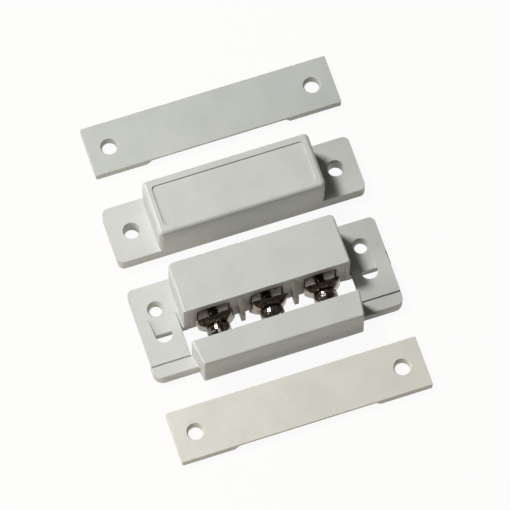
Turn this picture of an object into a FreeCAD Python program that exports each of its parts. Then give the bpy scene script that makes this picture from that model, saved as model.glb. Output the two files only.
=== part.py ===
import FreeCAD, Part
import os
import re
import Sketcher

# Surface magnetic contact, laid out as it comes: a reed switch unit with three screw terminals and
# a sliding cover, a magnet unit, and a spacer plate for each.
# Millimetres, Z up, X along the units, Y towards the back. The origin is on the mounting plane,
# midway between the switch unit's two fixing holes.

SIZES = {
    # Outline that the units share; the magnet unit is deeper than the switch unit and the spacers
    "unit_length": 63.5,
    "unit_depth": 13.2,
    "magnet_depth": 14.8,
    "hole_edge": 5.5,
    "corner_radius": 1.6,
    "sink_depth": 0.9,
    # Gaps between the units as they are laid out, and their shifts along X
    "magnet_gap": 6.85,
    "magnet_shift": 0.6,
    "rear_spacer_gap": 9.75,
    "rear_spacer_shift": 2.5,
    "front_spacer_gap": 5.8,
    "front_spacer_shift": -0.65,
    # Switch housing
    "switch_height": 12.0,
    "switch_ear_length": 10.6,
    "switch_ear": 2.4,
    "switch_wall": 1.2,
    "switch_top_round": 0.5,
    "switch_side_round": 1.3,
    "switch_hole_radius": 1.6,
    "switch_sink_radius": 2.1,
    # Terminal carrier, behind the open front of the housing
    "carrier_fit": 0.05,
    "carrier_face": 2.4,
    "carrier_lift": 0.2,
    "seat_margin": 2.1,
    "seat_gap": 5.2,
    "seat_low": 1.2,
    "seat_cap": 0.85,
    "seat_depth": 1.2,
    "seat_round": 1.4,
    "rib_thick": 1.0,
    "rib_reach": 2.6,
    "rib_lip": 0.3,
    "rib_drop": 0.55,
    "rib_play": 0.3,
    "rib_shoulder": 5.2,
    "rib_low": 0.7,
    "rib_round": 0.9,
    "post_spacing": 8.4,
    "post_thick": 1.2,
    "post_height": 3.4,
    "post_nose": 1.4,
    "post_drop": 0.8,
    "post_overhang": 0.6,
    "post_root": 0.5,
    # Terminals: bracket, saddle washer and screw
    "terminal_level": 4.4,
    "terminal_fit": 0.05,
    "screw_play": 0.2,
    "plate_side_play": 0.4,
    "plate_low_play": 0.3,
    "plate_top_play": 0.7,
    "plate_thick": 0.8,
    "plate_round": 1.0,
    "tail_width": 2.0,
    "tail_reach": 4.5,
    "washer_stand": 3.45,
    "washer_flat": 5.2,
    "washer_height": 5.6,
    "washer_thick": 0.6,
    "wing_length": 3.2,
    "wing_angle": 44.0,
    "shank_radius": 1.45,
    "shank_reach": 3.25,
    "shank_point": 0.4,
    "head_radius": 3.0,
    "head_thick": 2.2,
    "head_dome": 0.6,
    "head_face": 1.9,
    "slot_wide": 0.8,
    "slot_deep": 0.9,
    "cross_deep": 1.1,
    "cross_long": 3.4,
    # Reed switch
    "reed_back": 7.75,
    "glass_radius": 1.2,
    "glass_wall": 0.35,
    "glass_length": 15.0,
    "glass_seal": 2.2,
    "glass_neck": 0.6,
    "glass_end_radius": 0.75,
    "lead_width": 0.7,
    "lead_thick": 0.25,
    "lead_step": 0.35,
    "lead_corner": 0.5,
    "tongue_overlap": 1.2,
    "open_lead_turn": 9.6,
    # Sealing compound under the switch and the magnet
    "seal_lift": 0.4,
    "switch_seal": 1.6,
    # Terminal cover, pushed half way on
    "cover_out": 7.25,
    "cover_shift": -0.25,
    "cover_wall": 1.1,
    "bar_depth": 6.75,
    "bar_height": 10.8,
    "bar_side_gap": 0.15,
    "bar_taper": 1.0,
    "bar_round": 0.5,
    "arm_side_gap": 0.4,
    "arm_gap": 0.05,
    "arm_thick": 0.9,
    "arm_joggle": 0.25,
    "strip_setback": 0.45,
    "strip_depth": 3.7,
    "strip_step": 0.45,
    "strip_chamfer": 0.4,
    "strip_corner": 2.4,
    "fork_length": 11.55,
    "fork_tip_thick": 0.25,
    "fork_ramp": 3.7,
    "slot_width": 4.2,
    "slot_length": 4.9,
    "slot_flare": 0.25,
    # Magnet housing and its magnet
    "magnet_height": 13.8,
    "magnet_ear_length": 10.5,
    "magnet_ear": 4.0,
    "magnet_wall": 1.6,
    "magnet_top_round": 1.0,
    "magnet_side_round": 1.2,
    "panel_inset": 1.9,
    "panel_depth": 0.35,
    "panel_round": 1.0,
    "magnet_end_step": 0.85,
    "bar_magnet_side": 6.4,
    "magnet_fit": 0.05,
    # Fixing holes of the magnet unit and the spacers
    "hole_radius": 1.85,
    "sink_radius": 2.15,
    # Spacers
    "spacer_thick": 2.3,
    "spacer_corner": 0.35,
    "foot_length": 14.5,
    "relief_depth": 1.5,
    "relief_slope": 1.2,
}

doc = FreeCAD.newDocument("surface_magnetic_contact")

sheet = doc.addObject("Spreadsheet::Sheet", "sizes")
for row, (word, value) in enumerate(SIZES.items(), start=1):
    sheet.set(f"A{row}", word)
    sheet.set(f"B{row}", str(value))
    sheet.setAlias(f"B{row}", word)
doc.recompute()

# Formulas that several pieces share
HALF_LENGTH = "unit_length/2"
HALF_DEPTH = "unit_depth/2"
HALF_HOLES = "(unit_length/2 - hole_edge)"
HALF_SWITCH = "(unit_length/2 - switch_ear_length)"
HALF_MAGNET = "(unit_length/2 - magnet_ear_length)"
FRONT = "-unit_depth/2"
MAGNET_Y = "(unit_depth/2 + magnet_gap + magnet_depth/2)"
REAR_SPACER_Y = f"({MAGNET_Y} + magnet_depth/2 + rear_spacer_gap + unit_depth/2)"
FRONT_SPACER_Y = "-(unit_depth + cover_out + bar_depth + front_spacer_gap)"
HALF_CARRIER = f"({HALF_SWITCH} - switch_wall - carrier_fit)"
HALF_SEAT = f"(({HALF_CARRIER} - seat_margin - seat_gap)/3)"
PITCH = f"(2*{HALF_SEAT} + seat_gap)"
SEAT_BACK = f"({FRONT} + seat_depth)"
PLATE_LOW = "(seat_low + plate_low_play)"
CARRIER_TOP = "(switch_height - switch_wall - carrier_fit)"
SEAT_TOP = f"({CARRIER_TOP} - seat_cap)"
PLATE_TOP = f"({SEAT_TOP} - plate_top_play)"
TAIL_END = f"({FRONT} + tail_reach)"
WASHER_FRONT = f"({FRONT} - washer_stand)"
REED_Y = f"({FRONT} + reed_back)"
REED_LEVEL = f"({PLATE_TOP} - plate_thick/2)"
BAR_BACK = f"({FRONT} - cover_out)"
BAR_BACK_HALF = f"({HALF_SWITCH} + bar_side_gap)"
BAR_FRONT_HALF = f"({BAR_BACK_HALF} - bar_taper)"
STRIP_BACK = f"({BAR_BACK} - strip_setback)"
FORK_TIP = f"({BAR_BACK} + fork_length)"
SLOT_CENTRE = f"({FORK_TIP} - slot_length)"
MAGNET_LOW = "(magnet_height - panel_depth - magnet_wall - magnet_fit - bar_magnet_side)"
HALF_BAR_MAGNET = f"({HALF_MAGNET} - magnet_wall - magnet_end_step - magnet_fit)"
HALF_RELIEF = "(unit_length/2 - foot_length)"


# Helpers for the sheet's formulas, the bodies and their features

def size(word):
    """Read a size from the sheet."""
    return sheet.get(word)


def formula(text):
    """Return a formula in which each size's name is led by the sheet's name."""
    def lead(word):
        return "sizes." + word.group() if word.group() in SIZES else word.group()
    return re.sub(r"[a-z][a-z_]+", lead, text)


def bind(item, field, text):
    """Bind one field of an object to a formula on the sheet."""
    item.setExpression(field, formula(text))


def value(text):
    """Work out a formula."""
    return float(sheet.evalExpression(formula(text)))


def origin_plane(body, role):
    return next(item for item in body.Origin.OriginFeatures if item.Role == role)


def new_body(name, x="0", y="0", z="0", tilt=0.0):
    """Start a piece at its place, turned by a tilt about its own Y axis."""
    body = doc.addObject("PartDesign::Body", name)
    body.Label = name
    body.Placement.Rotation = FreeCAD.Rotation(FreeCAD.Vector(0, 1, 0), tilt)
    bind(body, ".Placement.Base.x", x)
    bind(body, ".Placement.Base.y", y)
    bind(body, ".Placement.Base.z", z)
    return body


def new_sketch(body, name, plane, offset="0"):
    """Start a sketch parallel to one of the body's own planes.

    The offset runs up from XY_Plane, to the right of YZ_Plane and to the front of XZ_Plane.
    """
    sketch = body.newObject("Sketcher::SketchObject", name)
    sketch.AttachmentSupport = [(origin_plane(body, plane), "")]
    sketch.MapMode = "FlatFace"
    bind(sketch, ".AttachmentOffset.Base.z", offset)
    return sketch


def hold(sketch, kind, text, *where):
    """Add a dimension to the sketch and bind it to a formula."""
    index = sketch.addConstraint(Sketcher.Constraint(kind, *where, 1.0))
    bind(sketch, f"Constraints[{index}]", text)


def outline(sketch, corners):
    """Draw a closed outline of straight edges through corners given as pairs of formulas."""
    count = len(corners)
    turn = FreeCAD.Rotation(FreeCAD.Vector(0, 0, 1), 360.0 / count)
    start = [FreeCAD.Vector(1, 0, 0)]
    for _ in range(count):
        start.append(turn.multVec(start[-1]))
    for index in range(count):
        sketch.addGeometry(Part.LineSegment(start[index], start[index + 1]), False)
    for index, (across, along) in enumerate(corners):
        sketch.addConstraint(Sketcher.Constraint("Coincident", index, 2, (index + 1) % count, 1))
        hold(sketch, "DistanceX", across, -1, 1, index, 1)
        hold(sketch, "DistanceY", along, -1, 1, index, 1)


def rectangle(sketch, left, right, low, high):
    outline(sketch, [(left, low), (right, low), (right, high), (left, high)])


def circle(sketch, across, along, radius):
    index = sketch.addGeometry(Part.Circle(FreeCAD.Vector(0, 0, 0), FreeCAD.Vector(0, 0, 1), 1), False)
    hold(sketch, "DistanceX", across, -1, 1, index, 3)
    hold(sketch, "DistanceY", along, -1, 1, index, 3)
    hold(sketch, "Radius", radius, index)


def upright_axis(sketch, across):
    """Draw an upright construction line as the sketch's own axis of revolution."""
    line = Part.LineSegment(FreeCAD.Vector(2, 0, 0), FreeCAD.Vector(2, 1, 0))
    index = sketch.addGeometry(line, True)
    sketch.addConstraint(Sketcher.Constraint("Vertical", index))
    sketch.addConstraint(Sketcher.Constraint("PointOnObject", index, 1, -1))
    hold(sketch, "DistanceX", across, -1, 1, index, 1)
    hold(sketch, "DistanceY", "1", index, 1, index, 2)


def pad(body, name, sketch, length):
    feature = body.newObject("PartDesign::Pad", name)
    feature.Profile = sketch
    bind(feature, "Length", length)
    doc.recompute()
    return feature


def pocket(body, name, sketch, depth, along_normal=False):
    """Cut a profile to a depth, against its plane's normal or along it."""
    before = body.Shape.Volume
    feature = body.newObject("PartDesign::Pocket", name)
    feature.Profile = sketch
    bind(feature, "Length", depth)
    feature.Reversed = along_normal
    doc.recompute()
    if not body.Shape.Volume < before:
        raise SystemExit(f"{name} cuts nothing from {body.Label}")
    return feature


def revolve(body, kind, name, sketch, axis):
    """Turn a profile all round, as a PartDesign Revolution or Groove."""
    feature = body.newObject(f"PartDesign::{kind}", name)
    feature.Profile = sketch
    feature.ReferenceAxis = (sketch, [axis])
    feature.Angle = 360
    doc.recompute()
    return feature


def mirror(body, name, features):
    """Repeat features on the other side of the body's YZ plane."""
    feature = body.newObject("PartDesign::Mirrored", name)
    feature.Originals = features
    feature.MirrorPlane = (origin_plane(body, "YZ_Plane"), [""])
    body.Tip = feature
    doc.recompute()


def repeat_along(body, name, features, sketch, length, count):
    """Repeat features along the horizontal axis of a sketch."""
    feature = body.newObject("PartDesign::LinearPattern", name)
    feature.Originals = features
    feature.Direction = (sketch, ["H_Axis"])
    bind(feature, "Length", length)
    feature.Occurrences = count
    body.Tip = feature
    doc.recompute()


def soften(body, name, radius, wanted):
    """Round those edges of the body's last feature that the test picks."""
    base = body.Tip
    edges = [f"Edge{number}" for number, edge in enumerate(base.Shape.Edges, start=1) if wanted(edge)]
    if not edges:
        raise SystemExit(f"{name} finds no edge on {body.Label}")
    feature = body.newObject("PartDesign::Fillet", name)
    feature.Base = (base, edges)
    bind(feature, "Radius", radius)
    doc.recompute()


# Tests that pick straight edges by where they lie, in the body's own frame

SAME_PLACE = 1e-4


def places(edge, axis):
    """The coordinates of an edge's two ends along one axis."""
    return [getattr(vertex.Point, axis) for vertex in edge.Vertexes]


def lies_at(edge, axis, place):
    return len(edge.Vertexes) == 2 and all(abs(along - place) < SAME_PLACE for along in places(edge, axis))


def lies_out_at(edge, axis, place):
    """Whether an edge lies at a place or at its mirror image."""
    return lies_at(edge, axis, place) or lies_at(edge, axis, -place)


def runs_along(edge, axis):
    return all(lies_at(edge, other, places(edge, other)[0]) for other in "xyz" if other != axis)


# The switch unit

def fixing_holes(body, height, bore, sink):
    """Cut the two fixing holes, with a sink for the screw's head at the top."""
    sketch = new_sketch(body, "hole_section", "XZ_Plane")
    outline(sketch, [
        (HALF_HOLES, "0"),
        (f"{HALF_HOLES} + {bore}", "0"),
        (f"{HALF_HOLES} + {bore}", f"{height} - sink_depth"),
        (f"{HALF_HOLES} + {sink}", height),
        (HALF_HOLES, height),
    ])
    upright_axis(sketch, HALF_HOLES)
    hole = revolve(body, "Groove", "fixing_hole", sketch, "Axis0")
    mirror(body, "fixing_holes", [hole])


def eared_block(body, half, depth, ear, height):
    """Pad the ears and the block of a unit, which share its depth."""
    ears = new_sketch(body, "ears_outline", "XY_Plane")
    rectangle(ears, f"-{HALF_LENGTH}", HALF_LENGTH, f"-{depth}/2", f"{depth}/2")
    pad(body, "ears", ears, ear)
    block = new_sketch(body, "block_outline", "XY_Plane")
    rectangle(block, f"-{half}", half, f"-{depth}/2", f"{depth}/2")
    pad(body, "block", block, height)


def switch_housing():
    """Moulded housing with an ear at each end, open underneath and at the front."""
    body = new_body("switch_housing")
    eared_block(body, HALF_SWITCH, "unit_depth", "switch_ear", "switch_height")

    cavity = new_sketch(body, "cavity_outline", "XY_Plane")
    rectangle(cavity, f"-{HALF_SWITCH} + switch_wall", f"{HALF_SWITCH} - switch_wall",
              FRONT, f"{HALF_DEPTH} - switch_wall")
    pocket(body, "cavity", cavity, "switch_height - switch_wall", along_normal=True)

    fixing_holes(body, "switch_ear", "switch_hole_radius", "switch_sink_radius")
    back = size("unit_depth") / 2
    soften(body, "ear_corners", "corner_radius",
           lambda edge: runs_along(edge, "z") and lies_at(edge, "y", back)
           and lies_out_at(edge, "x", size("unit_length") / 2))
    soften(body, "block_corners", "switch_side_round",
           lambda edge: runs_along(edge, "z") and lies_at(edge, "y", back)
           and lies_out_at(edge, "x", value(HALF_SWITCH)))
    soften(body, "block_top", "switch_top_round",
           lambda edge: lies_at(edge, "z", size("switch_height")) and not lies_at(edge, "y", -back))
    return body


def terminal_carrier():
    """Moulded insert that closes the housing's front and holds the terminals and the reed."""
    body = new_body("terminal_carrier")
    face = new_sketch(body, "face_outline", "XZ_Plane", "unit_depth/2 - carrier_face")
    rectangle(face, f"-{HALF_CARRIER}", HALF_CARRIER, "carrier_lift", CARRIER_TOP)
    pad(body, "face", face, "carrier_face")

    recess = new_sketch(body, "recess_outline", "XZ_Plane", HALF_DEPTH)
    rectangle(recess, f"-{PITCH} - {HALF_SEAT}", f"-{PITCH} + {HALF_SEAT}", "seat_low", SEAT_TOP)
    seat = pocket(body, "terminal_seat", recess, "seat_depth")
    tail = new_sketch(body, "tail_slot_outline", "XZ_Plane", HALF_DEPTH)
    half_slot = "(tail_width/2 + terminal_fit)"
    rectangle(tail, f"-{PITCH} - {half_slot}", f"-{PITCH} + {half_slot}",
              f"{PLATE_TOP} - plate_thick - terminal_fit", f"{PLATE_TOP} + terminal_fit")
    slot = pocket(body, "tail_slot", tail, "carrier_face")
    bore = new_sketch(body, "screw_clearance_outline", "XZ_Plane", HALF_DEPTH)
    circle(bore, f"-{PITCH}", "terminal_level", "shank_radius + screw_play")
    clearance = pocket(body, "screw_clearance", bore, "carrier_face")
    repeat_along(body, "terminal_seats", [seat, slot, clearance], recess, f"2*{PITCH}", 3)
    seat_top = value(SEAT_TOP)
    soften(body, "seat_corners", "seat_round",
           lambda edge: runs_along(edge, "y") and lies_at(edge, "z", seat_top))

    rib = new_sketch(body, "rib_profile", "YZ_Plane", f"-{PITCH}/2 - rib_thick/2")
    root = f"{FRONT} + carrier_face/2"
    outline(rib, [
        (root, "rib_low"),
        (f"{FRONT} - rib_reach", "rib_low"),
        (f"{FRONT} - rib_reach", "rib_shoulder"),
        (f"{FRONT} - rib_lip", "bar_height - cover_wall - rib_play"),
        (f"{FRONT} - rib_lip", f"{CARRIER_TOP} - rib_drop"),
        (root, f"{CARRIER_TOP} - rib_drop"),
    ])
    fin = pad(body, "barrier_rib", rib, "rib_thick")
    mirror(body, "barrier_ribs", [fin])
    reach = -size("unit_depth") / 2 - size("rib_reach")
    soften(body, "rib_tips", "rib_round", lambda edge: runs_along(edge, "x") and lies_at(edge, "y", reach))

    post = new_sketch(body, "post_profile", "YZ_Plane", "-post_spacing/2 - post_thick/2")
    back = f"{FRONT} + carrier_face"
    post_top = f"({REED_LEVEL} - post_drop)"
    nose = f"{REED_Y} + glass_radius + post_overhang"
    outline(post, [
        (f"{back} - post_root", f"{post_top} - post_height"),
        (back, f"{post_top} - post_height"),
        (nose, f"{post_top} - post_nose"),
        (nose, post_top),
        (f"{back} - post_root", post_top),
    ])
    stand = pad(body, "reed_post", post, "post_thick")
    mirror(body, "reed_posts", [stand])
    cradle = new_sketch(body, "cradle_outline", "YZ_Plane", "-post_spacing/2 - post_thick")
    circle(cradle, REED_Y, REED_LEVEL, "glass_radius + terminal_fit")
    pocket(body, "cradle", cradle, "post_spacing + 2*post_thick", along_normal=True)
    return body


def switch_potting():
    """Sealing compound that fills the housing's underside behind the carrier."""
    body = new_body("switch_potting")
    half = f"({HALF_SWITCH} - switch_wall)"
    sketch = new_sketch(body, "potting_outline", "XY_Plane", "seal_lift")
    rectangle(sketch, f"-{half}", half, f"{FRONT} + carrier_face", f"{HALF_DEPTH} - switch_wall")
    pad(body, "potting", sketch, "switch_seal")
    return body


def terminal_plate(name, place):
    """Plated bracket: an upright plate with the screw's bore, and a tail back through the carrier."""
    body = new_body(name, x=place)
    half = f"({HALF_SEAT} - plate_side_play)"
    face = new_sketch(body, "plate_outline", "XZ_Plane", "unit_depth/2 - seat_depth")
    rectangle(face, f"-{half}", half, PLATE_LOW, PLATE_TOP)
    pad(body, "plate", face, "plate_thick")
    tail = new_sketch(body, "tail_outline", "XY_Plane", f"{PLATE_TOP} - plate_thick")
    rectangle(tail, "-tail_width/2", "tail_width/2", SEAT_BACK, TAIL_END)
    pad(body, "tail", tail, "plate_thick")
    bore = new_sketch(body, "bore_outline", "XZ_Plane", HALF_DEPTH)
    circle(bore, "0", "terminal_level", "shank_radius + terminal_fit")
    pocket(body, "screw_bore", bore, "seat_depth")
    side = value(half)
    top = value(PLATE_TOP)
    soften(body, "plate_corners", "plate_round",
           lambda edge: runs_along(edge, "y") and lies_at(edge, "z", top) and lies_out_at(edge, "x", side))
    return body


def clamp_washer(name, place, tilt):
    """Square saddle washer whose two wings bend back towards the bracket."""
    body = new_body(name, x=place, z="terminal_level", tilt=tilt)
    back = f"{WASHER_FRONT} + washer_thick"
    tip = "(washer_flat/2 + wing_length*cos(wing_angle))"
    tip_y = f"({WASHER_FRONT} + wing_length*sin(wing_angle))"
    inner_tip = f"({tip} - washer_thick*sin(wing_angle))"
    inner_tip_y = f"({tip_y} + washer_thick*cos(wing_angle))"
    inner_bend = "(washer_flat/2 - washer_thick*tan(wing_angle/2))"
    section = new_sketch(body, "washer_section", "XY_Plane", "-washer_height/2")
    outline(section, [
        ("-washer_flat/2", WASHER_FRONT),
        (f"-{tip}", tip_y),
        (f"-{inner_tip}", inner_tip_y),
        (f"-{inner_bend}", back),
        (inner_bend, back),
        (inner_tip, inner_tip_y),
        (tip, tip_y),
        ("washer_flat/2", WASHER_FRONT),
    ])
    pad(body, "washer", section, "washer_height")
    bore = new_sketch(body, "bore_outline", "XZ_Plane", f"-({WASHER_FRONT})")
    circle(bore, "0", "0", "shank_radius + terminal_fit")
    pocket(body, "screw_bore", bore, "washer_thick")
    bend = size("washer_flat") / 2
    soften(body, "wing_bends", "washer_thick",
           lambda edge: runs_along(edge, "z") and lies_out_at(edge, "x", bend))
    return body


def terminal_screw(name, place, tilt):
    """Pan head screw with a slotted cross recess, backed out as delivered."""
    body = new_body(name, x=place, z="terminal_level", tilt=tilt)
    face = f"{WASHER_FRONT} - head_thick"
    point = f"{FRONT} + shank_reach"
    section = new_sketch(body, "screw_section", "XY_Plane")
    outline(section, [
        ("0", point),
        ("shank_radius - shank_point", point),
        ("shank_radius", f"{point} - shank_point"),
        ("shank_radius", WASHER_FRONT),
        ("head_radius", WASHER_FRONT),
        ("head_radius", f"{face} + head_dome"),
        ("head_face", face),
        ("0", face),
    ])
    revolve(body, "Revolution", "screw", section, "V_Axis")
    slot = new_sketch(body, "slot_outline", "XZ_Plane", f"-({face})")
    rectangle(slot, "-head_radius", "head_radius", "-slot_wide/2", "slot_wide/2")
    pocket(body, "driver_slot", slot, "slot_deep")
    cross = new_sketch(body, "cross_outline", "XZ_Plane", f"-({face})")
    rectangle(cross, "-slot_wide/2", "slot_wide/2", "-cross_long/2", "cross_long/2")
    pocket(body, "driver_cross", cross, "cross_deep")
    return body


# The reed switch: a glass tube with three tongues, each stamped in one piece with its flat lead

def reed_blade(name, step, corners, bend):
    """One flat tongue and its lead, drawn in plan at its level in the glass."""
    body = new_body(name)
    sketch = new_sketch(body, "blade_outline", "XY_Plane", f"{REED_LEVEL} + {step}*lead_step - lead_thick/2")
    outline(sketch, corners)
    pad(body, "blade", sketch, "lead_thick")
    back = value(f"{REED_Y} + lead_width/2")
    soften(body, "lead_bend", "lead_corner",
           lambda edge: runs_along(edge, "z") and lies_at(edge, "y", back)
           and lies_out_at(edge, "x", value(bend)))
    return body


def reed_blades():
    """The common tongue leaves at the left, the closed and the open contact at the right."""
    low = f"{REED_Y} - lead_width/2"
    high = f"{REED_Y} + lead_width/2"
    half = "lead_width/2"

    def to_outer_terminal(side, tongue_end):
        """A lead that runs straight out and turns to the front at an outer terminal."""
        return [
            (tongue_end, low),
            (tongue_end, high),
            (f"{side}*({PITCH} + {half})", high),
            (f"{side}*({PITCH} + {half})", TAIL_END),
            (f"{side}*({PITCH} - {half})", TAIL_END),
            (f"{side}*({PITCH} - {half})", low),
        ]

    to_middle_terminal = [
        ("-tongue_overlap/2", low),
        ("-tongue_overlap/2", high),
        (f"open_lead_turn + {half}", high),
        (f"open_lead_turn + {half}", TAIL_END),
        (f"-{half}", TAIL_END),
        (f"-{half}", f"{TAIL_END} + lead_width"),
        (f"open_lead_turn - {half}", f"{TAIL_END} + lead_width"),
        (f"open_lead_turn - {half}", low),
    ]
    outer_bend = f"{PITCH} + {half}"
    inner_bend = f"open_lead_turn + {half}"
    return [
        reed_blade("reed_blade_common", 0, to_outer_terminal(-1, "tongue_overlap/2"), outer_bend),
        reed_blade("reed_blade_closed", 1, to_outer_terminal(1, "-tongue_overlap/2"), outer_bend),
        reed_blade("reed_blade_open", -1, to_middle_terminal, inner_bend),
    ]


def reed_capsule(blades):
    """Sealed glass tube, solid round the leads at both ends."""
    tube_body = new_body("glass_tube", y=REED_Y, z=REED_LEVEL)
    half = "glass_length/2"
    tube = new_sketch(tube_body, "tube_section", "XZ_Plane")
    outline(tube, [
        (f"-{half}", "0"),
        (f"-{half}", "glass_end_radius"),
        (f"-{half} + glass_neck", "glass_radius"),
        (f"{half} - glass_neck", "glass_radius"),
        (half, "glass_end_radius"),
        (half, "0"),
    ])
    revolve(tube_body, "Revolution", "tube", tube, "H_Axis")
    hollow = new_sketch(tube_body, "hollow_section", "XZ_Plane")
    rectangle(hollow, f"-{half} + glass_seal", f"{half} - glass_seal", "0", "glass_radius - glass_wall")
    revolve(tube_body, "Groove", "hollow", hollow, "H_Axis")

    sealed = doc.addObject("Part::MultiFuse", "sealed_leads")
    sealed.Shapes = blades
    capsule = doc.addObject("Part::Cut", "reed_capsule")
    capsule.Base = tube_body
    capsule.Tool = sealed
    capsule.Label = "reed_capsule"
    return capsule


# The terminal cover

def terminal_cover():
    """Hollow bar over the terminals with a forked arm at each end that slides on top of an ear."""
    body = new_body("terminal_cover", x="cover_shift")
    bar = new_sketch(body, "bar_outline", "XY_Plane")
    outline(bar, [
        (f"-{BAR_BACK_HALF}", BAR_BACK),
        (f"-{BAR_FRONT_HALF}", f"{BAR_BACK} - bar_depth"),
        (BAR_FRONT_HALF, f"{BAR_BACK} - bar_depth"),
        (BAR_BACK_HALF, BAR_BACK),
    ])
    pad(body, "bar", bar, "bar_height")
    back = value(BAR_BACK)
    front = value(f"{BAR_BACK} - bar_depth")
    soften(body, "bar_edges", "bar_round",
           lambda edge: lies_at(edge, "z", size("bar_height")) and not lies_at(edge, "y", back)
           or runs_along(edge, "z") and lies_at(edge, "y", front))

    seat = "(switch_ear + arm_gap)"
    arm_top = f"({seat} + arm_thick)"
    arm_inner = f"({BAR_BACK_HALF} + arm_side_gap)"
    joggle = f"{BAR_BACK} + arm_joggle"
    arm = new_sketch(body, "arm_profile", "YZ_Plane", arm_inner)
    outline(arm, [
        (FORK_TIP, seat),
        (FORK_TIP, f"{seat} + fork_tip_thick"),
        (f"{FORK_TIP} - fork_ramp", arm_top),
        (STRIP_BACK, arm_top),
        (STRIP_BACK, "0"),
        (joggle, "0"),
        (joggle, seat),
    ])
    fork = pad(body, "arm", arm, f"{HALF_LENGTH} - {arm_inner}")
    strip_inner = f"({BAR_FRONT_HALF} - cover_wall/2)"
    strip_top = f"({arm_top} - strip_step)"
    strip_front = f"({STRIP_BACK} - strip_depth)"
    strip = new_sketch(body, "strip_profile", "YZ_Plane", strip_inner)
    outline(strip, [
        (STRIP_BACK, "0"),
        (STRIP_BACK, strip_top),
        (f"{strip_front} + strip_chamfer", strip_top),
        (strip_front, f"{strip_top} - strip_chamfer"),
        (strip_front, "0"),
    ])
    foot = pad(body, "strip", strip, f"{HALF_LENGTH} - {strip_inner}")
    mirror(body, "arms", [fork, foot])

    bay = new_sketch(body, "bay_outline", "XY_Plane")
    bay_front = f"{BAR_BACK} - bar_depth + cover_wall"
    outline(bay, [
        (f"-{BAR_BACK_HALF} + cover_wall", BAR_BACK),
        (f"-{BAR_FRONT_HALF} + cover_wall", bay_front),
        (f"{BAR_FRONT_HALF} - cover_wall", bay_front),
        (f"{BAR_BACK_HALF} - cover_wall", BAR_BACK),
    ])
    pocket(body, "terminal_bay", bay, "bar_height - cover_wall", along_normal=True)

    eye = new_sketch(body, "slot_eye_outline", "XY_Plane", arm_top)
    circle(eye, HALF_HOLES, SLOT_CENTRE, "slot_width/2")
    slot_eye = pocket(body, "slot_eye", eye, arm_top)
    mouth = new_sketch(body, "slot_mouth_outline", "XY_Plane", arm_top)
    outline(mouth, [
        (f"{HALF_HOLES} - slot_width/2", SLOT_CENTRE),
        (f"{HALF_HOLES} + slot_width/2", SLOT_CENTRE),
        (f"{HALF_HOLES} + slot_width/2 + slot_flare", FORK_TIP),
        (f"{HALF_HOLES} - slot_width/2 - slot_flare", FORK_TIP),
    ])
    slot_mouth = pocket(body, "slot_mouth", mouth, arm_top)
    mirror(body, "fork_slots", [slot_eye, slot_mouth])

    strip_edge = value(strip_front)
    soften(body, "arm_corners", "strip_corner",
           lambda edge: runs_along(edge, "z") and lies_at(edge, "y", strip_edge)
           and lies_out_at(edge, "x", size("unit_length") / 2))
    return body


# The magnet unit and the spacers

def magnet_housing():
    """Moulded housing with a shallow bare panel on top and a stepped hollow from below."""
    body = new_body("magnet_housing", x="magnet_shift", y=MAGNET_Y)
    eared_block(body, HALF_MAGNET, "magnet_depth", "magnet_ear", "magnet_height")

    hollow = new_sketch(body, "hollow_outline", "XY_Plane")
    rectangle(hollow, f"-{HALF_MAGNET} + magnet_wall", f"{HALF_MAGNET} - magnet_wall",
              "magnet_wall - magnet_depth/2", "magnet_depth/2 - magnet_wall")
    pocket(body, "hollow", hollow, MAGNET_LOW, along_normal=True)
    nest = new_sketch(body, "magnet_nest_outline", "XY_Plane")
    rectangle(nest, f"-{HALF_BAR_MAGNET} - magnet_fit", f"{HALF_BAR_MAGNET} + magnet_fit",
              "-bar_magnet_side/2 - magnet_fit", "bar_magnet_side/2 + magnet_fit")
    pocket(body, "magnet_nest", nest, f"{MAGNET_LOW} + bar_magnet_side + magnet_fit", along_normal=True)

    fixing_holes(body, "magnet_ear", "hole_radius", "sink_radius")
    soften(body, "ear_corners", "corner_radius",
           lambda edge: runs_along(edge, "z") and lies_out_at(edge, "x", size("unit_length") / 2))
    soften(body, "block_corners", "magnet_side_round",
           lambda edge: runs_along(edge, "z") and lies_out_at(edge, "x", value(HALF_MAGNET))
           and lies_out_at(edge, "y", size("magnet_depth") / 2))
    soften(body, "block_top", "magnet_top_round", lambda edge: lies_at(edge, "z", size("magnet_height")))

    panel = new_sketch(body, "panel_outline", "XY_Plane", "magnet_height")
    rectangle(panel, f"-{HALF_MAGNET} + panel_inset", f"{HALF_MAGNET} - panel_inset",
              "panel_inset - magnet_depth/2", "magnet_depth/2 - panel_inset")
    pocket(body, "panel", panel, "panel_depth")
    panel_floor = size("magnet_height") - size("panel_depth")
    panel_side = value(f"{HALF_MAGNET} - panel_inset")
    soften(body, "panel_corners", "panel_round",
           lambda edge: runs_along(edge, "z") and lies_out_at(edge, "x", panel_side)
           and abs(min(places(edge, "z")) - panel_floor) < SAME_PLACE)
    return body


def bar_magnet():
    """Cast bar magnet, lying along the unit."""
    body = new_body("bar_magnet", x="magnet_shift", y=MAGNET_Y)
    sketch = new_sketch(body, "magnet_outline", "XY_Plane", MAGNET_LOW)
    rectangle(sketch, f"-{HALF_BAR_MAGNET}", HALF_BAR_MAGNET, "-bar_magnet_side/2", "bar_magnet_side/2")
    pad(body, "magnet", sketch, "bar_magnet_side")
    return body


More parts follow.
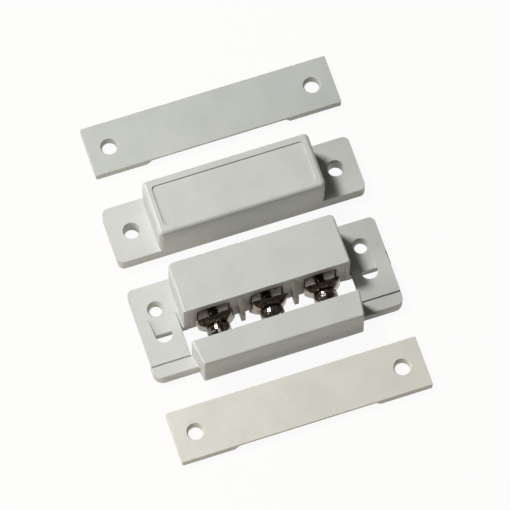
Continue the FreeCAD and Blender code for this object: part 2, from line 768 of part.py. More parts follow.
def magnet_potting():
    """Sealing compound that holds the magnet up in its nest."""
    body = new_body("magnet_potting", x="magnet_shift", y=MAGNET_Y)
    sketch = new_sketch(body, "potting_outline", "XY_Plane", "seal_lift")
    rectangle(sketch, f"-{HALF_MAGNET} + magnet_wall", f"{HALF_MAGNET} - magnet_wall",
              "magnet_wall - magnet_depth/2", "magnet_depth/2 - magnet_wall")
    pad(body, "potting", sketch, f"{MAGNET_LOW} - seal_lift")
    return body


def spacer(name, x, y):
    """Spacer plate that stands on a foot at each end, thinner in the middle."""
    body = new_body(name, x=x, y=y)
    side = new_sketch(body, "side_profile", "XZ_Plane", FRONT)
    outline(side, [
        (f"-{HALF_LENGTH}", "0"),
        (f"-{HALF_RELIEF} - relief_slope", "0"),
        (f"-{HALF_RELIEF}", "relief_depth"),
        (HALF_RELIEF, "relief_depth"),
        (f"{HALF_RELIEF} + relief_slope", "0"),
        (HALF_LENGTH, "0"),
        (HALF_LENGTH, "spacer_thick"),
        (f"-{HALF_LENGTH}", "spacer_thick"),
    ])
    pad(body, "plate", side, "unit_depth")
    fixing_holes(body, "spacer_thick", "hole_radius", "sink_radius")
    soften(body, "plate_corners", "spacer_corner",
           lambda edge: runs_along(edge, "z") and lies_out_at(edge, "x", size("unit_length") / 2))
    return body


# Where each terminal stands, and how far its washer and its screw are turned, in degrees
TERMINALS = {
    "left": (f"-{PITCH}", -8.0, 20.0),
    "middle": ("0", 7.0, -35.0),
    "right": (PITCH, -3.0, 62.0),
}

blades = reed_blades()
parts = [
    switch_housing(),
    terminal_carrier(),
    switch_potting(),
    reed_capsule(blades),
    *blades,
    terminal_cover(),
    magnet_housing(),
    bar_magnet(),
    magnet_potting(),
    spacer("rear_spacer", "rear_spacer_shift", REAR_SPACER_Y),
    spacer("front_spacer", "front_spacer_shift", FRONT_SPACER_Y),
]
for side, (place, washer_tilt, screw_tilt) in TERMINALS.items():
    parts.append(terminal_plate(f"terminal_plate_{side}", place))
    parts.append(clamp_washer(f"clamp_washer_{side}", place, washer_tilt))
    parts.append(terminal_screw(f"terminal_screw_{side}", place, screw_tilt))
doc.recompute()

for item in doc.Objects:
    if "Invalid" in item.State or "Error" in item.State:
        raise SystemExit(f"{item.Label} did not build: {item.State}")
for part in parts:
    if part.Shape.isNull() or not part.Shape.isValid() or len(part.Shape.Solids) != 1:
        raise SystemExit(f"{part.Label} is not one valid solid")

os.makedirs("parts", exist_ok=True)
for part in parts:
    part.Shape.exportStep(f"parts/{part.Label}.step")
    box = part.Shape.BoundBox
    print(f"{part.Label}: {part.Shape.Volume:.2f} mm3, x {box.XMin:.2f} to {box.XMax:.2f}, "
          f"y {box.YMin:.2f} to {box.YMax:.2f}, z {box.ZMin:.2f} to {box.ZMax:.2f}")
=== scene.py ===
# %% [markdown]
# # A surface magnetic contact, laid out in its parts
# The object is a set for a door or a window: a reed switch unit with three screw terminals and a
# sliding cover, a magnet unit, and a flat spacer for each. All of it lies on a table. The solids come
# ready made from the CAD model, in metres and in place, so this script gives them their looks: soft
# edges, threads, moulded plastic and plated metal, under the light of a plain studio.

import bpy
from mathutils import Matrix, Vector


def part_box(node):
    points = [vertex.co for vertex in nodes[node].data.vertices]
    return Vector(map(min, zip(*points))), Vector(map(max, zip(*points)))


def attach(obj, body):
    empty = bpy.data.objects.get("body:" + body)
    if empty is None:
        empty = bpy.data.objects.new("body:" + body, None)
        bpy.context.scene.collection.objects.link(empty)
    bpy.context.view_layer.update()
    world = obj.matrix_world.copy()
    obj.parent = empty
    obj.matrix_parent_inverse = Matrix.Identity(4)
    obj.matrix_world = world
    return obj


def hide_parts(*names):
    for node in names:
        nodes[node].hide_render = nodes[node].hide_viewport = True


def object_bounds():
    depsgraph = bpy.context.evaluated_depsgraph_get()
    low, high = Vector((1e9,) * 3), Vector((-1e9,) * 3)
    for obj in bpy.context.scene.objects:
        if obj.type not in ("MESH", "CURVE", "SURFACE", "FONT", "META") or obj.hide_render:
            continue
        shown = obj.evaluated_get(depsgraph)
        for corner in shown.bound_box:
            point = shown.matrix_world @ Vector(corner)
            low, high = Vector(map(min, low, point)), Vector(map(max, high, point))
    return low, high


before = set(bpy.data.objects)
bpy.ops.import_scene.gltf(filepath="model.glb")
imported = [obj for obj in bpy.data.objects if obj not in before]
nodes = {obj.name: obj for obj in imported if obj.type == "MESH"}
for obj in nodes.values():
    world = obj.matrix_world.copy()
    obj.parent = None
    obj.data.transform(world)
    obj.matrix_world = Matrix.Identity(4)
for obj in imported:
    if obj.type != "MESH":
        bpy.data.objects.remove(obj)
cad_box = [list(corner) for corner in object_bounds()]

import math

import bpy
from mathutils import Matrix, Vector

MM = 0.001
box_in_mm = [[round(value / MM, 2) for value in corner] for corner in cad_box]
print("nodes:", len(nodes), "box in mm:", box_in_mm)

# %% [markdown]
# ## The camera
# The picture was taken from above and a little from the left, with a long lens, so that edges that are
# parallel stay nearly parallel. A camera could be turned by eye until the edges fit, but then its roll
# is never quite level. It is easier to place it by its own three directions: which way is right, which
# way is up and which way it looks back. They are the columns of its rotation.

# %% Camera
PICTURE = 510
SENSOR = 36.0
CAMERA_TURN = math.radians(-18.43)
CAMERA_RISE = math.radians(67.5)
CAMERA_DISTANCE = 1.2
PIXELS_PER_METRE = 4104
LAYOUT_MIDDLE = Vector((0.3 * MM, 5.0 * MM, 0))
AIM_RIGHT = 0.46 * MM
AIM_UP = 1.92 * MM

backwards = Vector((
    math.sin(CAMERA_TURN) * math.cos(CAMERA_RISE),
    -math.cos(CAMERA_TURN) * math.cos(CAMERA_RISE),
    math.sin(CAMERA_RISE),
))
rightwards = Vector((math.cos(CAMERA_TURN), math.sin(CAMERA_TURN), 0))
upwards = backwards.cross(rightwards)
aim = LAYOUT_MIDDLE + rightwards * AIM_RIGHT + upwards * AIM_UP

bpy.ops.object.camera_add(location=aim + backwards * CAMERA_DISTANCE)
camera = bpy.context.object
camera.rotation_euler = Matrix((rightwards, upwards, backwards)).transposed().to_euler()
camera.data.sensor_width = SENSOR
camera.data.lens = PIXELS_PER_METRE * CAMERA_DISTANCE / PICTURE * SENSOR
bpy.context.scene.camera = camera
print("lens in mm:", round(camera.data.lens, 1))

# %% [markdown]
# ## The light
# The tops are an even grey, the left ends are bright, the fronts are dark, and short shadows with
# narrow soft edges fall to the right and to the front. The world alone would light all of it alike, so
# two area lamps do most of the work: a strong one high up behind, small enough for those edges, and a
# weak one low at the left, which is softer because it is near. The power of a lamp is worked out from
# its distance, so that a level of 1 lights a white sheet that faces the lamp to white.

# %% Lamps and world
STUDIO_TINT = (1.0, 0.985, 0.95, 1)
STUDIO_LEVEL = 0.072


def softbox(name, towards, distance, width, level):
    """Add a square area lamp that looks at the middle of the object."""
    towards = Vector(towards).normalized()
    bpy.ops.object.light_add(type="AREA", location=towards * distance)
    lamp = bpy.context.object
    lamp.name = name
    lamp.rotation_euler = towards.to_track_quat("Z", "Y").to_euler()
    lamp.data.size = width
    lamp.data.energy = level * (math.pi * distance) ** 2
    print(name, "power in watts:", round(lamp.data.energy, 2))


softbox("high_lamp", towards=(-0.36, 0.42, 0.83), distance=0.70, width=0.15, level=0.92)
softbox("left_lamp", towards=(-0.84, -0.30, 0.46), distance=0.30, width=0.14, level=0.36)

world = bpy.data.worlds.new("studio")
world.use_nodes = True
world.node_tree.nodes["Background"].inputs["Color"].default_value = STUDIO_TINT
world.node_tree.nodes["Background"].inputs["Strength"].default_value = STUDIO_LEVEL
bpy.context.scene.world = world
bpy.context.scene.view_settings.view_transform = "Standard"

# %% [markdown]
# ## The table
# The table is a plain sheet that shows as nearly white and keeps the shadows. Stronger lamps would
# make it white too, but they would bleach the object. So the Light Path node tells apart who looks:
# the camera and the reflections see mostly a glow, and the light that the sheet throws back on the
# object comes from a duller, warmer colour, as from a wooden table under it.

# %% Table
TABLE_SIDE = 6
TABLE_TINT = (0.72, 0.61, 0.49, 1)
GLOW_SHARE = 0.94

bpy.ops.mesh.primitive_plane_add(size=TABLE_SIDE, location=(0, 0, 0))
table = bpy.context.object
table.name = "table"
sheet_white = bpy.data.materials.new("table_white")
sheet_white.use_nodes = True
tree = sheet_white.node_tree
tree.nodes.clear()


def table_math(operation, first, second):
    """Add a Math node on two values, each a number or a socket, and return its result."""
    node = tree.nodes.new("ShaderNodeMath")
    node.operation = operation
    for socket, value in zip(node.inputs, (first, second)):
        if isinstance(value, float):
            socket.default_value = value
        else:
            tree.links.new(value, socket)
    return node.outputs[0]


# %% The table's glow, for the eye alone
path = tree.nodes.new("ShaderNodeLightPath")
seen = table_math("MAXIMUM", path.outputs["Is Camera Ray"], path.outputs["Is Glossy Ray"])
seen = table_math("MAXIMUM", seen, path.outputs["Is Transmission Ray"])
share = table_math("MULTIPLY", seen, GLOW_SHARE)
matt = tree.nodes.new("ShaderNodeBsdfDiffuse")
matt.inputs["Color"].default_value = TABLE_TINT
glow = tree.nodes.new("ShaderNodeEmission")
blend = tree.nodes.new("ShaderNodeMixShader")
output = tree.nodes.new("ShaderNodeOutputMaterial")
tree.links.new(share, blend.inputs[0])
tree.links.new(matt.outputs[0], blend.inputs[1])
tree.links.new(glow.outputs[0], blend.inputs[2])
tree.links.new(blend.outputs[0], output.inputs["Surface"])
table.data.materials.append(sheet_white)
print("table side in metres:", TABLE_SIDE, "nodes in its material:", len(tree.nodes))

# %% [markdown]
# ## Tools for materials
# A material is a small net of nodes. Every surface here needs the same few things: noise at several
# scales, read in the object's own coordinates so that it stays put, a blend of two colours, a range of
# roughness, and a bump. The nets could be drawn one by one in the Shader Editor. As a class, each of
# those things is a short call, and the scale of a noise is the size of its spots in millimetres.

# %% Helpers for node nets
class Finish:
    """A material under construction."""

    def __init__(self, name):
        self.material = bpy.data.materials.new(name)
        self.material.use_nodes = True
        self.tree = self.material.node_tree
        self.shader = self.tree.nodes["Principled BSDF"]
        self.place = self.tree.nodes.new("ShaderNodeTexCoord").outputs["Object"]
        self.normal = None

    def add(self, kind, **settings):
        node = self.tree.nodes.new(kind)
        for key, value in settings.items():
            setattr(node, key, value)
        return node

    def join(self, source, target):
        self.tree.links.new(source, target)

    def noise(self, spot, detail=3.0, rough=0.55, stretch=None):
        """Noise whose spots are about that many millimetres across."""
        node = self.add("ShaderNodeTexNoise")
        node.inputs["Scale"].default_value = 1 / (spot * MM)
        node.inputs["Detail"].default_value = detail
        node.inputs["Roughness"].default_value = rough
        source = self.place
        if stretch:
            mapping = self.add("ShaderNodeMapping")
            mapping.inputs["Scale"].default_value = stretch
            self.join(source, mapping.inputs["Vector"])
            source = mapping.outputs["Vector"]
        self.join(source, node.inputs["Vector"])
        return node.outputs["Fac"]

    def span(self, source, low, high, start=0.3, end=0.7):
        """Stretch a value from start..end to low..high, and clamp it there."""
        node = self.add("ShaderNodeMapRange", clamp=True)
        self.join(source, node.inputs["Value"])
        for socket, value in (("From Min", start), ("From Max", end), ("To Min", low), ("To Max", high)):
            node.inputs[socket].default_value = value
        return node.outputs["Result"]

    def blend(self, factor, first, second):
        """Blend two colours, each a colour or a socket."""
        node = self.add("ShaderNodeMix", data_type="RGBA")
        self.join(factor, node.inputs["Factor"])
        for socket, colour in (("A", first), ("B", second)):
            target = next(item for item in node.inputs if item.name == socket and item.type == "RGBA")
            if isinstance(colour, tuple):
                target.default_value = (*colour, 1)
            else:
                self.join(colour, target)
        return next(item for item in node.outputs if item.type == "RGBA")

    def bump(self, height, depth):
        """Raise the surface by that many millimetres where the height is 1."""
        node = self.add("ShaderNodeBump")
        node.inputs["Distance"].default_value = depth * MM
        node.inputs["Strength"].default_value = 1.0
        self.join(height, node.inputs["Height"])
        if self.normal:
            self.join(self.normal, node.inputs["Normal"])
        self.normal = node.outputs["Normal"]

    def done(self, colour, roughness, **sockets):
        """Connect the net to the shader and set what is the same all over."""
        self.join(colour, self.shader.inputs["Base Color"])
        self.join(roughness, self.shader.inputs["Roughness"])
        if self.normal:
            self.join(self.normal, self.shader.inputs["Normal"])
        for name, value in sockets.items():
            self.shader.inputs[name.replace("_", " ")].default_value = value
        return self.material


# %% [markdown]
# ## Moulded plastic
# The housings are moulded in pale grey plastic with a fine satin skin. Up close the skin is a little
# pebbled, its shine changes from spot to spot, and handling has left faint grey clouds and a few
# specks. A painted image could show all that, but noise has no seams and stays sharp up close. There
# is a wide noise for the clouds, a sparse one for the specks, one for the shine, a fine one for the
# pebbles, and a slow one for the shallow hollows that the plastic gets as it cools.

# %% Plastic finishes
CLOUD_SPOT = 9.0
CLOUD_EDGES = (0.38, 0.66)
SPECK_SPOT = 0.9
SPECK_EDGES = (0.74, 0.80)
SPECK_STRENGTH = 0.18
SPECK_SHADE = 0.45
SHINE_SPOT = 1.6
PEBBLE_SPOT, PEBBLE_DEEP = 0.35, 0.012
HOLLOW_SPOT, HOLLOW_DEEP = 5.0, 0.05
SATIN = (0.36, 0.48)
MATT = (0.42, 0.55)


def moulded(name, pale, cloudy, shine=SATIN):
    """Plastic of a pale colour that clouds over towards a second one."""
    finish = Finish(name)
    clouds = finish.span(finish.noise(CLOUD_SPOT, detail=4.0), 0.0, 1.0, *CLOUD_EDGES)
    skin = finish.blend(clouds, pale, cloudy)
    specks = finish.span(finish.noise(SPECK_SPOT, detail=1.0), 0.0, SPECK_STRENGTH, *SPECK_EDGES)
    skin = finish.blend(specks, skin, tuple(channel * SPECK_SHADE for channel in cloudy))
    roughness = finish.span(finish.noise(SHINE_SPOT, detail=5.0), *shine)
    finish.bump(finish.noise(PEBBLE_SPOT, detail=2.0), PEBBLE_DEEP)
    finish.bump(finish.noise(HOLLOW_SPOT, detail=2.0), HOLLOW_DEEP)
    return finish.done(skin, roughness, IOR=1.52)


plastics = {
    "unit_plastic": moulded("unit_plastic", (0.578, 0.584, 0.545), (0.540, 0.548, 0.512)),
    # The rear spacer is the same plastic as the front one. Its darker, greyer colour is painted shade, for
    # the weaker light at the back.
    "rear_spacer": moulded("spacer_painted_shade", (0.512, 0.529, 0.490), (0.478, 0.494, 0.460)),
    "front_spacer": moulded("spacer_cream", (0.690, 0.670, 0.590), (0.640, 0.625, 0.560)),
    # The carrier is the unit's plastic. Its warmer tint is painted light: the warm light that the table
    # throws on its shaded fronts.
    "carrier": moulded("carrier_plastic", (0.600, 0.565, 0.490), (0.540, 0.505, 0.430), MATT),
}
print("plastics:", ", ".join(plastics))

# %% [markdown]
# ## Plated metal
# The terminals are pressed and turned parts with a nickel plate that has gone dull and brownish. Metal
# shows mostly what it mirrors, so its colour counts less than its roughness: smooth on the screw
# heads, duller on the washers and dullest on the brackets. Smooth metal would mirror a lamp as one
# neat spot. Shallow dents break it up into glints, as years of a screwdriver do.

# %% Metal finishes
TARNISH_SPOT = 1.4
TARNISH_EDGES = (0.40, 0.62)
POLISH_SPOT = 0.6
SCRATCH_SPOT, SCRATCH_DEEP = 0.12, 0.004
SCRATCH_STRETCH = (1, 1, 6)
DENT_SPOT = 0.7
FINE_DENTS = 0.01


def plated(name, bright, tarnished, shine, dents=FINE_DENTS):
    """Plated metal that is tarnished in clouds, with fine scratches and shallow dents."""
    finish = Finish(name)
    clouds = finish.span(finish.noise(TARNISH_SPOT, detail=5.0, rough=0.6), 0.0, 1.0, *TARNISH_EDGES)
    colour = finish.blend(clouds, bright, tarnished)
    roughness = finish.span(finish.noise(POLISH_SPOT, detail=4.0), *shine)
    finish.bump(finish.noise(SCRATCH_SPOT, detail=2.0, stretch=SCRATCH_STRETCH), SCRATCH_DEEP)
    finish.bump(finish.noise(DENT_SPOT, detail=2.0), dents)
    return finish.done(colour, roughness, Metallic=1.0)


metals = {
    "screw": plated("screw_nickel", (0.40, 0.36, 0.32), (0.10, 0.084, 0.070), (0.07, 0.18), dents=0.14),
    "washer": plated("washer_nickel", (0.36, 0.305, 0.25), (0.12, 0.098, 0.078), (0.12, 0.28), dents=0.12),
    "plate": plated("plate_nickel", (0.30, 0.245, 0.19), (0.13, 0.105, 0.08), (0.26, 0.42), dents=0.10),
    "reed": plated("reed_metal", (0.66, 0.64, 0.60), (0.50, 0.48, 0.44), (0.22, 0.36)),
}
print("metals:", ", ".join(metals))

# %% [markdown]
# ## What is hidden inside
# Plain grey would do for the picture, because nobody sees these parts until the unit is cut open. Then
# each has to look like what it is: a clear glass tube, a grey sintered magnet and dark resin that was
# poured in and set. Two small recipes are enough for the three.

# %% Glass, magnet and resin
STREAK_SPOT, STREAK_DEEP = 0.8, 0.004
STREAK_STRETCH = (0.1, 1, 1)


def cast(name, colour, deep, shine, spot, depth):
    """A cast surface with pits."""
    finish = Finish(name)
    tone = finish.span(finish.noise(spot * 4, detail=4.0), 0.0, 1.0)
    roughness = finish.span(finish.noise(spot * 2), *shine)
    finish.bump(finish.noise(spot, detail=5.0), depth)
    return finish.done(finish.blend(tone, colour, deep), roughness)


def clear_glass(name):
    """Greenish glass with faint streaks along the tube."""
    finish = Finish(name)
    streaks = finish.noise(STREAK_SPOT, stretch=STREAK_STRETCH)
    tone = finish.span(streaks, 0.0, 1.0)
    roughness = finish.span(streaks, 0.02, 0.08)
    finish.bump(streaks, STREAK_DEEP)
    colour = finish.blend(tone, (0.80, 0.92, 0.82), (0.74, 0.88, 0.78))
    return finish.done(colour, roughness, Transmission_Weight=1.0, IOR=1.5)


hidden = {
    "resin": cast("sealing_compound", (0.11, 0.105, 0.10), (0.07, 0.068, 0.065), (0.25, 0.5), 1.2, 0.06),
    "magnet": cast("cast_magnet", (0.13, 0.13, 0.135), (0.09, 0.09, 0.095), (0.5, 0.75), 0.4, 0.05),
    "glass": clear_glass("reed_glass"),
}
print("hidden finishes:", ", ".join(hidden))

# %% [markdown]
# ## Give the solids their finish
# A solid from CAD has edges as sharp as a razor, and real edges catch a line of light because they are
# a little round. Rounding them all in the CAD model would make it slow and heavy. Four modifiers do it
# here, and leave the mesh as it is: Weld joins the loose triangles, Decimate takes out the lines inside
# flat faces, Bevel rounds the edges, and Weighted Normal keeps the flat faces flat to the light.

# %% Soft edges and materials on the CAD nodes
WELD_REACH = 0.0005 * MM
FLAT_ANGLE = math.radians(1)
EDGE_ANGLE = math.radians(30)
EDGE_STEPS = 3
FLAT_FACE_WEIGHT = 80
UNIT_EDGE = 0.14
CARRIER_EDGE = 0.20
PLATE_EDGE = 0.10


def soft_edges(node, width):
    """Round the sharp edges of a CAD node by that many millimetres."""
    weld = node.modifiers.new("weld", "WELD")
    weld.merge_threshold = WELD_REACH
    tidy = node.modifiers.new("tidy", "DECIMATE")
    tidy.decimate_type = "DISSOLVE"
    tidy.angle_limit = FLAT_ANGLE
    bevel = node.modifiers.new("round", "BEVEL")
    bevel.width = width * MM
    bevel.segments = EDGE_STEPS
    bevel.limit_method = "ANGLE"
    bevel.angle_limit = EDGE_ANGLE
    bevel.harden_normals = False
    shade = node.modifiers.new("shade", "WEIGHTED_NORMAL")
    shade.keep_sharp = False
    shade.weight = FLAT_FACE_WEIGHT


def dress(name, material, width=0.0):
    """Give a CAD node its material and, where it shows, soft edges."""
    node = nodes[name]
    for slot in node.material_slots:
        slot.material = material
    if width:
        soft_edges(node, width)


# %% Dress the solids
SIDES = ("left", "middle", "right")

for name in ("switch_housing", "magnet_housing", "terminal_cover"):
    dress(name, plastics["unit_plastic"], UNIT_EDGE)
dress("rear_spacer", plastics["rear_spacer"], UNIT_EDGE)
dress("front_spacer", plastics["front_spacer"], UNIT_EDGE)
dress("terminal_carrier", plastics["carrier"], CARRIER_EDGE)
for side in SIDES:
    dress(f"terminal_plate_{side}", metals["plate"], PLATE_EDGE)
    dress(f"clamp_washer_{side}", metals["washer"])
    dress(f"terminal_screw_{side}", metals["screw"])
for blade in ("common", "closed", "open"):
    dress(f"reed_blade_{blade}", metals["reed"])
dress("reed_capsule", hidden["glass"])
dress("bar_magnet", hidden["magnet"])
dress("switch_potting", hidden["resin"])
dress("magnet_potting", hidden["resin"])
print("solids with soft edges:", sum(bool(node.modifiers) for node in nodes.values()), "of", len(nodes))

# %% [markdown]
# ## The terminal screws
# Each terminal has a pan head screw, backed out so far that its thread shows between the washer and
# the bracket. The head takes a flat blade as well as a cross one, so it has a long slot with a short
# one across it. All three are the same screw, only stopped at another turn. So one is modelled on the
# Y axis, where turning it is easy, and its copies are then turned and moved to their terminals.
#
# The thread could be a bump in the material, but its teeth show against the table behind it, so it is
# real metal. The head is a cylinder that is drawn up into a low dome, the recess is cut by two wedges,
# and the thread is one V of metal that the Screw modifier winds along the shank.

# %% Sizes of a screw, read from the frame where it gives them
screw_low, screw_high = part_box("terminal_screw_middle")
HEAD_RADIUS = (screw_high[0] - screw_low[0]) / 2
FACE_Y, POINT_Y = screw_low[1], screw_high[1]
SCREW_LEVEL = (screw_low[2] + screw_high[2]) / 2
HEAD_THICK = 2.2 * MM
DOME = 0.6 * MM
DOME_RADIUS = 1.9 * MM
RIM_Y = FACE_Y + DOME
SEAT_Y = FACE_Y + HEAD_THICK
THREAD_RADIUS = 1.44 * MM
THREAD_PITCH = 0.5 * MM
THREAD_DEEP = 0.25 * MM
TINY = 0.001 * MM
print("head radius in mm:", round(HEAD_RADIUS / MM, 2), "length:", round((POINT_Y - FACE_Y) / MM, 2))


# %% Helpers for modelling by hand
def pick(piece, kind, test):
    """Select only the faces, edges or vertices of a piece that pass a test, and open its mesh."""
    bpy.ops.object.mode_set(mode="EDIT")
    bpy.ops.mesh.select_all(action="DESELECT")
    bpy.ops.object.mode_set(mode="OBJECT")
    mesh = piece.data
    for item in getattr(mesh, kind):
        if test(mesh, item):
            item.select = True
    modes = {"polygons": "FACE", "edges": "EDGE", "vertices": "VERT"}
    bpy.ops.object.mode_set(mode="EDIT")
    bpy.ops.mesh.select_mode(type=modes[kind])


def settle(piece):
    """Put a piece's place and turn into its mesh, and leave only that piece selected."""
    bpy.ops.object.select_all(action="DESELECT")
    piece.select_set(True)
    bpy.context.view_layer.objects.active = piece
    bpy.ops.object.transform_apply(location=True, rotation=True, scale=True)


def combine(piece, tool, operation):
    """Cut a tool from a piece, or unite the two, and take the tool away."""
    change = piece.modifiers.new("change", "BOOLEAN")
    change.operation = operation
    change.solver = "EXACT"
    change.object = tool
    bpy.context.view_layer.objects.active = piece
    bpy.ops.object.modifier_apply(modifier=change.name)
    bpy.data.objects.remove(tool)


def edge_lies_at(y):
    """Return a test for edges that lie in the plane at that place along Y."""
    def test(mesh, edge):
        return all(abs(mesh.vertices[index].co.y - y) < TINY for index in edge.vertices)
    return test


# %% The head, as a cylinder drawn up into a dome
HEAD_SIDES = 72
ROUND_STEPS = 4
# Where each rounded ring lies along Y, and how wide its rounding is
HEAD_ROUNDS = ((FACE_Y, 0.45 * MM), (RIM_Y, 0.40 * MM), (SEAT_Y, 0.12 * MM))

bpy.ops.object.select_all(action="DESELECT")
bpy.ops.mesh.primitive_cylinder_add(
    vertices=HEAD_SIDES, radius=HEAD_RADIUS, depth=SEAT_Y - RIM_Y,
    location=(0, (SEAT_Y + RIM_Y) / 2, 0), rotation=(math.radians(90), 0, 0),
)
screw = bpy.context.object
screw.name = "terminal_screw"
settle(screw)
pick(screw, "polygons", lambda mesh, face: face.normal.y < -0.9)
bpy.ops.mesh.extrude_region_move(TRANSFORM_OT_translate={"value": (0, -DOME, 0)})
shrink = DOME_RADIUS / HEAD_RADIUS
bpy.ops.transform.resize(value=(shrink, 1, shrink), center_override=(0, FACE_Y, 0))
bpy.ops.object.mode_set(mode="OBJECT")
for ring, width in HEAD_ROUNDS:
    pick(screw, "edges", edge_lies_at(ring))
    bpy.ops.mesh.bevel(offset=width, offset_type="WIDTH", segments=ROUND_STEPS, affect="EDGES")
    bpy.ops.object.mode_set(mode="OBJECT")
print("faces of the head:", len(screw.data.polygons))

# %% The recess, as two wedges that are cut away
BLADE_WIDE = 0.8 * MM
WEDGE_SHORTER = 0.85
# For each wedge: its length, its depth, how far its floor is narrowed, and its turn
WEDGES = {
    "slot": (2.4 * HEAD_RADIUS, 0.9 * MM, 0.80, 0),
    "cross": (3.4 * MM, 1.1 * MM, 0.55, 90),
}

for name, (long, deep, narrower, turn) in WEDGES.items():
    bpy.ops.object.select_all(action="DESELECT")
    bpy.ops.mesh.primitive_cube_add(size=1, location=(0, FACE_Y, 0), scale=(long, 2 * deep, BLADE_WIDE))
    wedge = bpy.context.object
    settle(wedge)
    pick(wedge, "polygons", lambda mesh, face: face.normal.y > 0.9)
    bpy.ops.transform.resize(value=(WEDGE_SHORTER, 1, narrower), center_override=(0, FACE_Y + deep, 0))
    bpy.ops.object.mode_set(mode="OBJECT")
    wedge.rotation_euler.y = math.radians(turn)
    settle(wedge)
    combine(screw, wedge, "DIFFERENCE")
    print("faces of the head with its", name + ":", len(screw.data.polygons))

# %% The thread's profile, a V that opens to the shank
# A triangle with equal sides is drawn, its inner side is taken out, and it is pressed flat
bpy.ops.object.select_all(action="DESELECT")
bpy.ops.mesh.primitive_circle_add(
    vertices=3, radius=THREAD_PITCH / math.sqrt(3), rotation=(0, 0, math.radians(-90)))
thread = bpy.context.object
settle(thread)
inner_x = min(vertex.co.x for vertex in thread.data.vertices)
pick(thread, "edges", lambda mesh, edge: all(
    mesh.vertices[index].co.x < inner_x + TINY for index in edge.vertices))
bpy.ops.mesh.delete(type="EDGE")
bpy.ops.mesh.select_all(action="SELECT")
bpy.ops.transform.translate(value=(-inner_x, 0, 0))
flatten = THREAD_DEEP / (THREAD_PITCH * math.sqrt(0.75))
bpy.ops.transform.resize(value=(flatten, 1, 1), center_override=(0, 0, 0))
bpy.ops.transform.translate(value=(THREAD_RADIUS - THREAD_DEEP, SEAT_Y - THREAD_PITCH, 0))
bpy.ops.object.mode_set(mode="OBJECT")
print("points of the profile:", len(thread.data.vertices))

# %% Wind the profile along the shank, close its ends and join it to the head
TURN_STEPS = 24

wind = thread.modifiers.new("wind", "SCREW")
wind.axis = "Y"
wind.screw_offset = THREAD_PITCH
wind.iterations = int((POINT_Y - SEAT_Y) / THREAD_PITCH)
wind.steps = wind.render_steps = TURN_STEPS
wind.use_merge_vertices = True
wind.merge_threshold = TINY
turns = wind.iterations
bpy.ops.object.modifier_apply(modifier=wind.name)
bpy.ops.object.mode_set(mode="EDIT")
bpy.ops.mesh.select_all(action="SELECT")
bpy.ops.mesh.remove_doubles(threshold=TINY)
bpy.ops.mesh.fill_holes(sides=0)
bpy.ops.mesh.select_all(action="SELECT")
bpy.ops.mesh.normals_make_consistent(inside=False)
bpy.ops.object.mode_set(mode="OBJECT")
combine(screw, thread, "UNION")
print("turns of the thread:", turns, "faces of the screw:", len(screw.data.polygons))

# %% A screw for each terminal, stopped at its own turn
SCREW_TURNS = {"left": 84, "middle": -35, "right": 62}
SCREW_SMOOTH = 32


def finish_piece(piece, turn, place, smooth, material, node):
    """Turn and place a terminal piece, and let it take the place of its CAD node."""
    piece.location = place
    piece.rotation_euler.y = math.radians(turn)
    settle(piece)
    bpy.ops.object.shade_smooth_by_angle(angle=math.radians(smooth))
    piece.data.materials.append(material)
    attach(piece, "base")
    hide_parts(node)
    print(piece.name, "at x in mm:", round(place[0] / MM, 2), "faces:", len(piece.data.polygons))


for side in SIDES:
    bpy.ops.object.select_all(action="DESELECT")
    screw.select_set(True)
    bpy.context.view_layer.objects.active = screw
    bpy.ops.object.duplicate()
    piece = bpy.context.object
    piece.name = f"{side}_screw"
    low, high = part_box(f"terminal_screw_{side}")
    place = ((low[0] + high[0]) / 2, 0, SCREW_LEVEL)
    finish_piece(
        piece, SCREW_TURNS[side], place, SCREW_SMOOTH, metals["screw"],
        f"terminal_screw_{side}")
bpy.data.objects.remove(screw)

# %% [markdown]
# ## The saddle washers
# Under each head sits a washer pressed from sheet. Its middle is flat for the head, and its sides bend
# back, so that it cups the wire and holds it against the bracket. It could be carved from a block, but
# then its thickness would have to be kept by hand. So it starts as a flat grid, whose rings of points
# are pushed back one after the other, as the press does it. Solidify gives it the thickness of the
# sheet, Subdivision Surface rounds the bends, and a drill makes the hole.

# %% Helpers for the press and the drill
SHEET_THICK = 0.55 * MM
SHEET_CELLS = 8
HOLE_RADIUS = THREAD_RADIUS + 0.1 * MM
HOLE_SIDES = 48
DRILL_LENGTH = 20 * MM
# Outside which share of the washer's half the points are pushed, and by what share of its depth
PRESSED_RINGS = ((0.40, 0.08), (0.60, 0.30), (0.85, 0.62))


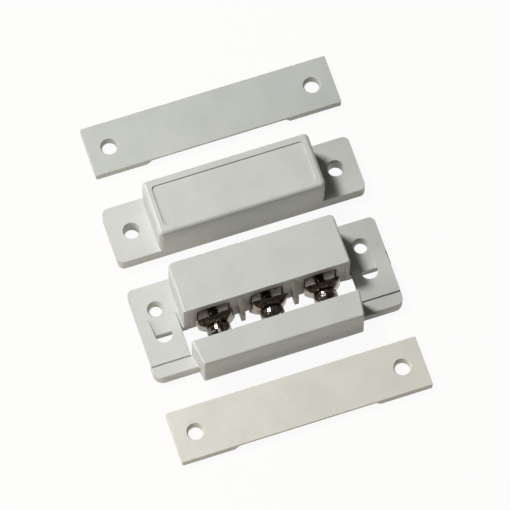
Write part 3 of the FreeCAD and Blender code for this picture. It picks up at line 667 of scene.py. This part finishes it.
def press(name, half_x, half_z, depth):
    """Make a washer from a flat sheet whose outer rings are pushed back."""
    bpy.ops.object.select_all(action="DESELECT")
    bpy.ops.mesh.primitive_grid_add(
        x_subdivisions=SHEET_CELLS, y_subdivisions=SHEET_CELLS, size=2, rotation=(math.radians(90), 0, 0))
    washer = bpy.context.object
    washer.name = name
    washer.scale = (half_x, half_z, 1)
    settle(washer)
    for share, push in PRESSED_RINGS:
        pick(washer, "vertices", lambda mesh, point:
             abs(point.co.x) > share * half_x or abs(point.co.z) > share * half_z)
        bpy.ops.transform.translate(value=(0, push * depth, 0))
        bpy.ops.object.mode_set(mode="OBJECT")
    thicken = washer.modifiers.new("thicken", "SOLIDIFY")
    thicken.thickness = SHEET_THICK
    thicken.offset = 0
    smooth = washer.modifiers.new("smooth", "SUBSURF")
    smooth.levels = smooth.render_levels = 2
    for modifier in (thicken, smooth):
        bpy.ops.object.modifier_apply(modifier=modifier.name)
    return washer


def drill(washer):
    """Drill the hole for the screw along Y."""
    bpy.ops.mesh.primitive_cylinder_add(
        vertices=HOLE_SIDES, radius=HOLE_RADIUS, depth=DRILL_LENGTH, rotation=(math.radians(90), 0, 0))
    tool = bpy.context.object
    settle(tool)
    combine(washer, tool, "DIFFERENCE")


# %% A washer for each terminal
WASHER_TURNS = {"left": -8, "middle": 7, "right": -3}
WASHER_SMOOTH = 40
# Room that a turned washer needs inside the box of its solid
TURN_ROOM_X = 0.45 * MM
TURN_ROOM_Z = 0.225 * MM

for side in SIDES:
    low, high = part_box(f"clamp_washer_{side}")
    half_x = (high[0] - low[0]) / 2 - TURN_ROOM_X
    half_z = (high[2] - low[2]) / 2 - TURN_ROOM_Z
    washer = press(f"{side}_washer", half_x, half_z, high[1] - low[1] - SHEET_THICK)
    drill(washer)
    place = ((low[0] + high[0]) / 2, low[1] + SHEET_THICK / 2, SCREW_LEVEL)
    finish_piece(
        washer, WASHER_TURNS[side], place, WASHER_SMOOTH, metals["washer"],
        f"clamp_washer_{side}")
